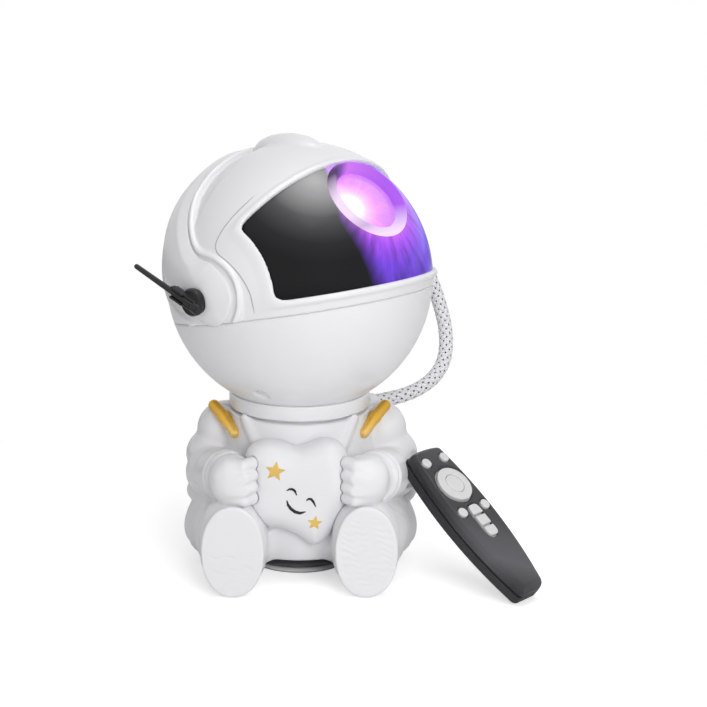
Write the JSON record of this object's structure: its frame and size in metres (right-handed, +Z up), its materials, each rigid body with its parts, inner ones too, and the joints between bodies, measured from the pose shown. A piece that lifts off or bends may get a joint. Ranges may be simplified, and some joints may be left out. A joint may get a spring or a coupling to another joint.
{
  "type": "planetarium projector",
  "caption": "Astronaut-shaped night-sky projector that sits hugging a star, with a turning and tilting round helmet that holds the lens, a braided hose and a remote control.",
  "frame": {"origin": "on the floor, under the axis that the head turns about", "axes": "+Z up, -Y where the figure's chest and feet face, +X to the figure's left hand"},
  "size_m": [0.2062, 0.1533, 0.2224],
  "materials": {
    "white_shell": "glossy white ABS",
    "gold_trim": "metallic gold paint",
    "visor_glass": "smoked gloss acrylic",
    "lens": "clear lens",
    "black_plastic": "black plastic",
    "rubber": "soft rubber",
    "steel": "plain steel",
    "magnet": "nickel-plated magnet",
    "aluminium": "milled aluminium",
    "circuit_board": "green circuit board",
    "braid": "white open braid",
    "cable": "grey cable",
    "film_disc": "printed colour disc",
    "gear_plastic": "natural acetal",
    "remote_shell": "satin dark grey plastic",
    "remote_key": "light grey silicone rubber"
  },
  "bodies": {
    "torso": {"torso_front_shell": "white_shell", "torso_back_shell": "white_shell", "star": "white_shell", "shoulder_bars": "gold_trim", "boot_sole_left": "white_shell", "boot_sole_right": "white_shell", "base_plate": "white_shell", "base_pad": "rubber", "base_screws": "steel", "ballast_plate": "steel", "neck_hub": "black_plastic", "backpack": "white_shell", "control_board": "circuit_board", "usb_socket": "steel", "hose_socket_body": "white_shell", "hose_sleeve": "braid", "hose_cable": "cable"},
    "collar": {"neck_collar": "white_shell", "collar_magnet": "magnet", "collar_retainer": "black_plastic"},
    "helmet": {"helmet_bowl": "white_shell", "helmet_hood": "white_shell", "visor": "visor_glass", "headband": "white_shell", "striker_plate": "steel", "helmet_screws": "steel", "antenna_pivot": "black_plastic", "hose_socket_head": "white_shell", "chassis": "black_plastic", "main_board": "circuit_board", "module_frame": "black_plastic", "lens_barrel": "black_plastic", "front_lens": "lens", "lens_bezel": "white_shell", "led_board": "circuit_board", "heat_sink": "aluminium", "motor": "steel", "laser_module": "steel"},
    "antenna": {"antenna_clip": "black_plastic", "antenna_rod": "black_plastic"},
    "nebula_wheel": {"nebula_disc": "film_disc"},
    "drive_pinion": {"motor_pinion": "gear_plastic"},
    "star_wheel": {"grating_wheel": "gear_plastic"},
    "remote": {"remote_top": "remote_shell", "remote_bottom": "remote_shell", "remote_board": "circuit_board", "coin_cell": "steel"},
    "cell_hatch": {"cell_cover": "remote_shell"},
    "power_button_body": {"power_button": "remote_key"},
    "nebula_button_body": {"nebula_button": "remote_key"},
    "star_button_body": {"star_button": "remote_key"},
    "key_power_body": {"key_power": "remote_key"},
    "key_timer_body": {"key_timer": "remote_key"},
    "key_nebula_body": {"key_nebula": "remote_key"},
    "key_star_body": {"key_star": "remote_key"},
    "key_ring_body": {"key_ring": "remote_key"},
    "key_ok_body": {"key_ok": "remote_key"},
    "key_up_body": {"key_up": "remote_key"},
    "key_speed_body": {"key_speed": "remote_key"},
    "key_down_body": {"key_down": "remote_key"}
  },
  "joints": [
    {"name": "head_turn", "type": "hinge", "parent": "torso", "child": "collar", "pos_m": [0, 0, 0.0835], "axis": [0, 0, 1], "range_deg": [-60, 20], "deforming": ["hose_sleeve", "hose_cable"]},
    {"name": "head_tilt", "type": "hinge", "parent": "collar", "child": "helmet", "pos_m": [0, 0, 0.149], "axis": [0.6794, 0.7337, 0], "range_deg": [-16, 18]},
    {"name": "antenna_swing", "type": "hinge", "parent": "helmet", "child": "antenna", "pos_m": [-0.0496, -0.05356, 0.149], "axis": [-0.6794, -0.7337, 0], "range_deg": [-60, 60]},
    {"name": "nebula_spin", "type": "hinge", "parent": "helmet", "child": "nebula_wheel", "pos_m": [0.02324, -0.02152, 0.16554], "axis": [0.5143, -0.4762, 0.7133], "continuous": true},
    {"name": "pinion_spin", "type": "hinge", "parent": "helmet", "child": "drive_pinion", "pos_m": [0.03108, -0.00046, 0.17395], "axis": [0.5143, -0.4762, 0.7133], "continuous": true},
    {"name": "star_spin", "type": "hinge", "parent": "helmet", "child": "star_wheel", "pos_m": [0.01932, 0.00536, 0.18099], "axis": [0.5143, -0.4762, 0.7133], "continuous": true},
    {"name": "power_button_press", "type": "slide", "parent": "torso", "child": "power_button_body", "axis": [0, -1, 0], "range_m": [0, 0.0006], "stiffness_N_per_m": 800, "springref_m": -0.0005},
    {"name": "nebula_button_press", "type": "slide", "parent": "torso", "child": "nebula_button_body", "axis": [0, -1, 0], "range_m": [0, 0.0006], "stiffness_N_per_m": 800, "springref_m": -0.0005},
    {"name": "star_button_press", "type": "slide", "parent": "torso", "child": "star_button_body", "axis": [0, -1, 0], "range_m": [0, 0.0006], "stiffness_N_per_m": 800, "springref_m": -0.0005},
    {"name": "remote_lift", "type": "slide", "parent": "torso", "child": "remote", "axis": [0.4503, -0.4199, 0.788], "range_m": [0, 0.12]},
    {"name": "cell_cover_twist", "type": "hinge", "parent": "remote", "child": "cell_hatch", "pos_m": [0.0987, -0.05231, 0.01293], "axis": [0.4503, -0.4199, 0.788], "range_deg": [0, 45]},
    {"name": "key_power_press", "type": "slide", "parent": "remote", "child": "key_power_body", "axis": [-0.4503, 0.4199, -0.788], "range_m": [0, 0.0005], "stiffness_N_per_m": 500, "springref_m": -0.0005},
    {"name": "key_timer_press", "type": "slide", "parent": "remote", "child": "key_timer_body", "axis": [-0.4503, 0.4199, -0.788], "range_m": [0, 0.0005], "stiffness_N_per_m": 500, "springref_m": -0.0005},
    {"name": "key_nebula_press", "type": "slide", "parent": "remote", "child": "key_nebula_body", "axis": [-0.4503, 0.4199, -0.788], "range_m": [0, 0.0005], "stiffness_N_per_m": 500, "springref_m": -0.0005},
    {"name": "key_star_press", "type": "slide", "parent": "remote", "child": "key_star_body", "axis": [-0.4503, 0.4199, -0.788], "range_m": [0, 0.0005], "stiffness_N_per_m": 500, "springref_m": -0.0005},
    {"name": "key_ring_press", "type": "slide", "parent": "remote", "child": "key_ring_body", "axis": [-0.4503, 0.4199, -0.788], "range_m": [0, 0.0005], "stiffness_N_per_m": 500, "springref_m": -0.0005},
    {"name": "key_ok_press", "type": "slide", "parent": "remote", "child": "key_ok_body", "axis": [-0.4503, 0.4199, -0.788], "range_m": [0, 0.0005], "stiffness_N_per_m": 500, "springref_m": -0.0005},
    {"name": "key_up_press", "type": "slide", "parent": "remote", "child": "key_up_body", "axis": [-0.4503, 0.4199, -0.788], "range_m": [0, 0.0005], "stiffness_N_per_m": 500, "springref_m": -0.0005},
    {"name": "key_speed_press", "type": "slide", "parent": "remote", "child": "key_speed_body", "axis": [-0.4503, 0.4199, -0.788], "range_m": [0, 0.0005], "stiffness_N_per_m": 500, "springref_m": -0.0005},
    {"name": "key_down_press", "type": "slide", "parent": "remote", "child": "key_down_body", "axis": [-0.4503, 0.4199, -0.788], "range_m": [0, 0.0005], "stiffness_N_per_m": 500, "springref_m": -0.0005}
  ],
  "couplings": [
    {"joint": "pinion_spin", "follows": "nebula_spin", "ratio": -4},
    {"joint": "star_spin", "follows": "nebula_spin", "ratio": 2}
  ]
}
